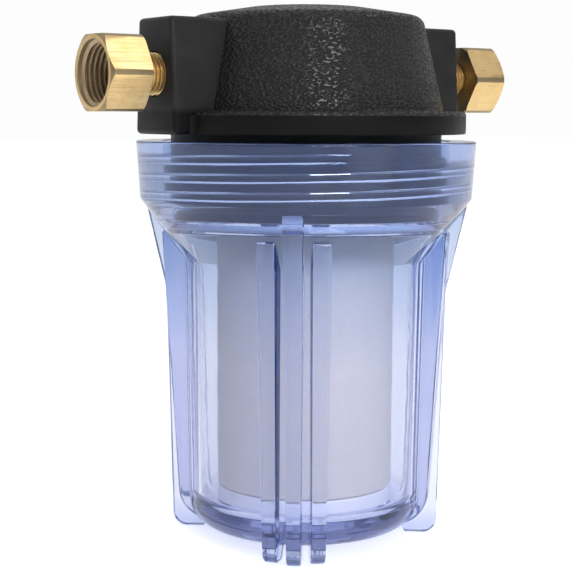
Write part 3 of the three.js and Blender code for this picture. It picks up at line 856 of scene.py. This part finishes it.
def make_head():
    head = head_outside()
    corners = [flange_corner(x, y) for x in (-1, 1) for y in (-1, 1)]
    combine(head, [port_block(), *corners], "UNION")
    combine(head, [head_chamber()], "DIFFERENCE")
    tube = port_cylinder(PORT_TUBE_R, CENTRE_BORE_R + 1, NECK_INNER_R)
    combine(head, [head_centre(), tube], "UNION")
    cutters = [
        head_centre_bore(),
        port_cylinder(PORT_BORE_R, 0, PORT_END_X),
        port_cylinder(PORT_BORE_R, -PORT_END_X, -INLET_REACH),
        port_cylinder(PORT_SOCKET_R, PORT_END_X - PORT_SOCKET_DEPTH, PORT_END_X + 1),
        port_cylinder(PORT_SOCKET_R, -PORT_END_X - 1, PORT_SOCKET_DEPTH - PORT_END_X),
    ]
    combine(head, cutters, "DIFFERENCE")
    top_z = BOWL_THREAD_TOP_Z - LEAD * (0.5 - HEAD_THREAD_ADVANCE)
    top_angle = BOWL_THREAD_TOP_ANGLE + 2 * math.pi * HEAD_THREAD_ADVANCE
    section = ridge_section(NECK_R - THREAD_BURY, HEAD_THREAD_TIP_R, THREAD_ROOT_WIDTH, THREAD_TIP_WIDTH)
    ridge = wound("ridge", section, LEAD, HEAD_THREAD_TURNS, top_z, top_angle,
                  THREAD_STEPS, run_out=THREAD_RUN_OUT)
    combine(head, [ridge], "UNION")
    finish_piece(head, "head_casing", "head", "head_plastic", SMOOTH_BLACK, GRAINED_BLACK)


# ---- brass adaptors ----------------------------------------------------------------------------------------


def adaptor_hexagon(low, high):
    """A hexagonal bar turned down at its ends and a little at its corners."""
    corner_r = HEX_FLATS / math.sqrt(3)
    turns = [math.radians(90 + 60 * i) for i in range(6)]
    outline = [(corner_r * math.cos(turn), corner_r * math.sin(turn)) for turn in turns]
    bar = prism("adaptor", outline, high - low)
    bar.data.transform(Matrix.Translation((0, 0, (low + high) / 2 * MM)))
    slope = math.sqrt(3)
    turned = revolved("turned", rounded([
        (0, low, 0),
        (HEX_BAR_R - HEX_INNER_EDGE * slope, low, 0.15),
        (HEX_BAR_R, low + HEX_INNER_EDGE, 0.15),
        (HEX_BAR_R, high - HEX_OUTER_EDGE, 0.2),
        (HEX_BAR_R - HEX_OUTER_EDGE * slope, high, 0.2),
        (0, high, 0),
    ], steps=3), FINE, slots=lambda r, z: TURNED_SLOT)
    return combine(bar, [turned], "INTERSECT")


def make_adaptor(name, node, side):
    reach = ADAPTOR_END_X - PORT_END_X
    hex_low = reach - HEX_LENGTH
    adaptor = adaptor_hexagon(hex_low, reach)
    adaptor.name = name
    neck = revolved("neck", rounded([
        (0, -NECK_ENGAGED, 0),
        (NECK_MINOR_R - 0.6, -NECK_ENGAGED, 0),
        (NECK_MINOR_R, -NECK_ENGAGED + 0.6, 0),
        (NECK_MINOR_R, hex_low + 1, 0),
        (0, hex_low + 1, 0),
    ]), MEDIUM)
    combine(adaptor, [neck], "UNION")
    floor_z = reach - SOCKET_DEPTH
    bore = revolved("cutter", rounded([
        (0, -NECK_ENGAGED - 1, 0),
        (ADAPTOR_BORE_R, -NECK_ENGAGED - 1, 0),
        (ADAPTOR_BORE_R, floor_z - 2, 0),
        (SOCKET_MINOR_R, floor_z, 0.3),
        (SOCKET_MAJOR_R, floor_z + 1.2, 0),
        (SOCKET_MAJOR_R, reach - 0.25, 0),
        (SOCKET_MAJOR_R + 0.3, reach + 0.05, 0),
        (0, reach + 0.05, 0),
    ]), MEDIUM, slots=lambda r, z: INSIDE_SLOT)
    combine(adaptor, [bore], "DIFFERENCE")
    neck_ridge = wound("ridge", ridge_section(NECK_MINOR_R - 0.2, NECK_MAJOR_R, 1.3, 0.3, 0.1), NECK_PITCH,
                       (hex_low + NECK_ENGAGED - 1.4) / NECK_PITCH, hex_low - 0.5, 0, 48, run_out=0.3)
    socket_ridge = wound("ridge", ridge_section(SOCKET_MAJOR_R + 0.25, SOCKET_MINOR_R, 1.7, 0.35, 0.12),
                         SOCKET_PITCH, (SOCKET_DEPTH - 2.4) / SOCKET_PITCH, reach - 0.9, 0, 72, run_out=0.2)
    for face in socket_ridge.data.polygons:
        face.material_index = INSIDE_SLOT
    combine(adaptor, [neck_ridge, socket_ridge], "UNION")
    bevelled(adaptor, 0.14, segments=2, angle=40)
    along_ports(adaptor, side, side * PORT_END_X)
    finish_piece(adaptor, node, "head", "brass", BRASS, BRASS_TURNED_PAINTED_SHADE, BRASS_INSIDE_PAINTED_SHADE, sharp=35)


# ---- cartridge and seal ------------------------------------------------------------------------------------


def node_ring(node, inner_r, rounding, steps=FINE):
    """A ring of the CAD node's outer radius and height, with rounded edges."""
    low, high = node_bottom(node), node_top(node)
    outer_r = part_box(node)[1].x / MM
    middle = (low + high) / 2
    outline = rounded([
        (inner_r, middle, 0),
        (inner_r, low, rounding),
        (outer_r, low, rounding),
        (outer_r, high, rounding),
        (inner_r, high, rounding),
        (inner_r, middle + 0.01, 0),
    ], steps=5)
    return revolved(node + "_fine", outline, steps)


def make_cartridge():
    sleeve = node_ring("filter_sleeve", SLEEVE_BORE_R, 0.6)
    finish_piece(sleeve, "filter_sleeve", "bowl", "filter_fibre", FIBRE)
    top_cap = node_ring("cartridge_top_cap", CAP_BORE_R, 0.8)
    finish_piece(top_cap, "cartridge_top_cap", "bowl", "cap_plastic", CAP_WHITE)
    bottom_cap = node_ring("cartridge_bottom_cap", CAP_BORE_R, 0.8)
    low = node_bottom("cartridge_bottom_cap")
    combine(bottom_cap, [cylinder("cutter", CAP_SKIRT_R, low - 1, CAP_RECESS_TOP_Z)], "DIFFERENCE")
    finish_piece(bottom_cap, "cartridge_bottom_cap", "bowl", "cap_plastic", CAP_WHITE)
    floor_gasket = node_ring("cartridge_floor_gasket", FLOOR_GASKET_INNER_R, 0.4)
    finish_piece(floor_gasket, "cartridge_floor_gasket", "bowl", "black_rubber", BLACK_RUBBER)
    top_gasket = node_ring("cartridge_top_gasket", TOP_GASKET_INNER_R, 0.4)
    finish_piece(top_gasket, "cartridge_top_gasket", "bowl", "black_rubber", BLACK_RUBBER)


def make_seal():
    middle_z = (node_bottom("bowl_seal") + node_top("bowl_seal")) / 2
    ring_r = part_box("bowl_seal")[1].x / MM - SEAL_SECTION_R
    turns = [2 * math.pi * i / 24 for i in range(24)]
    outline = [(ring_r + SEAL_SECTION_R * math.cos(turn),
                middle_z + SEAL_SECTION_R * math.sin(turn) * SEAL_SQUEEZE) for turn in turns]
    finish_piece(revolved("bowl_seal_ring", outline), "bowl_seal", "seal", "pale_silicone", SILICONE)


def dress_hidden_nodes():
    """The pieces that stay as packed get the fine materials."""
    looks = {"magnet_sheath": STAINLESS, "sheath_plug": STAINLESS, "sheath_seal_ring": BLACK_RUBBER,
             "core_tube": CAP_WHITE}
    for name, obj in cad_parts.items():
        if name.startswith("magnet_") and name != "magnet_sheath":
            looks[name] = NICKEL
        if name.startswith("pole_disc_"):
            looks[name] = POLE_STEEL
    for name, look in looks.items():
        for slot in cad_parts[name].material_slots:
            slot.material = look


# ---- studio ------------------------------------------------------------------------------------------------


def make_floor():
    bm = bmesh.new()
    corners = [bm.verts.new((x * FLOOR_HALF_SIZE, y * FLOOR_HALF_SIZE, 0))
               for x, y in ((-1, -1), (1, -1), (1, 1), (-1, 1))]
    bm.faces.new(corners)
    mesh = bpy.data.meshes.new("floor")
    bm.to_mesh(mesh)
    bm.free()
    floor = bpy.data.objects.new("floor", mesh)
    bpy.context.scene.collection.objects.link(floor)
    look = Look("floor_paper", Roughness=1.0, Specular_IOR_Level=0.0)
    look.set("Base Color", look.mix(look.noise(0.02), (0.86, 0.86, 0.86, 1), (0.88, 0.88, 0.88, 1)))
    look.shader.inputs["Emission Color"].default_value = (1, 1, 1, 1)
    look.shader.inputs["Emission Strength"].default_value = FLOOR_GLOW
    mesh.materials.append(look.material)


def soft_lamp(name, place, aim, size, power):
    data = bpy.data.lights.new(name, "AREA")
    data.shape = "RECTANGLE"
    data.size, data.size_y = size
    data.energy = power
    lamp = bpy.data.objects.new(name, data)
    lamp.location = place
    lamp.rotation_euler = (Vector(aim) - Vector(place)).to_track_quat("-Z", "Y").to_euler()
    bpy.context.scene.collection.objects.link(lamp)


def make_light():
    """A bright studio all round and above, darker on the camera's side and the right. A wide key lamp stands
    at the front, a lamp hangs high on the right for the brass, and a weak one fills in from the right."""
    world = bpy.data.worlds.new("studio")
    world.use_nodes = True
    nodes, links = world.node_tree.nodes, world.node_tree.links
    right = Vector((math.cos(VIEW_AZIMUTH), -math.sin(VIEW_AZIMUTH), 0))
    away = Vector((math.sin(VIEW_AZIMUTH), math.cos(VIEW_AZIMUTH), 0))
    up = Vector((0, 0, 1))

    def fade(source, low, high, from_value, to_value):
        node = nodes.new("ShaderNodeMapRange")
        node.interpolation_type = "SMOOTHSTEP"
        values = (("From Min", low), ("From Max", high), ("To Min", from_value), ("To Max", to_value))
        for key, value in values:
            node.inputs[key].default_value = value
        links.new(source, node.inputs["Value"])
        return node.outputs[0]

    def times(a, b):
        node = nodes.new("ShaderNodeMath")
        node.operation = "MULTIPLY"
        links.new(a, node.inputs[0])
        links.new(b, node.inputs[1])
        return node.outputs[0]

    backdrop = nodes["Background"]
    backdrop.inputs["Color"].default_value = srgb(253, 253, 253)
    sky = nodes.new("ShaderNodeBackground")
    place = nodes.new("ShaderNodeTexCoord")
    height = nodes.new("ShaderNodeSeparateXYZ")
    links.new(place.outputs["Generated"], height.inputs[0])

    def towards(direction):
        node = nodes.new("ShaderNodeVectorMath")
        node.operation = "DOT_PRODUCT"
        node.inputs[1].default_value = direction
        links.new(place.outputs["Generated"], node.inputs[0])
        return node.outputs["Value"]

    overhead = fade(height.outputs["Z"], 0.0, 1.0, SKY_HORIZON, SKY_ZENITH)
    camera_side = fade(towards(-away), 0.15, 0.9, 1.0, SKY_CAMERA_SIDE)
    right_side = fade(towards(right), 0.1, 0.9, 1.0, SKY_RIGHT_SIDE)
    links.new(times(times(overhead, camera_side), right_side), sky.inputs["Strength"])
    seen = nodes.new("ShaderNodeLightPath")
    choice = nodes.new("ShaderNodeMixShader")
    links.new(seen.outputs["Is Camera Ray"], choice.inputs["Fac"])
    links.new(sky.outputs[0], choice.inputs[1])
    links.new(backdrop.outputs[0], choice.inputs[2])
    links.new(choice.outputs[0], nodes["World Output"].inputs["Surface"])
    bpy.context.scene.world = world
    for name, (to_right, to_back, high), aim_height, size, watts in LAMPS:
        soft_lamp(name, right * to_right + away * to_back + up * high, up * aim_height, size, watts)
    bpy.context.scene.view_settings.view_transform = "Standard"


# ---- the whole ---------------------------------------------------------------------------------------------

make_bowl()
make_head()
make_adaptor("inlet_adaptor_brass", "inlet_adaptor", -1)
make_adaptor("outlet_adaptor_brass", "outlet_adaptor", 1)
make_cartridge()
make_seal()
dress_hidden_nodes()
make_floor()
make_light()
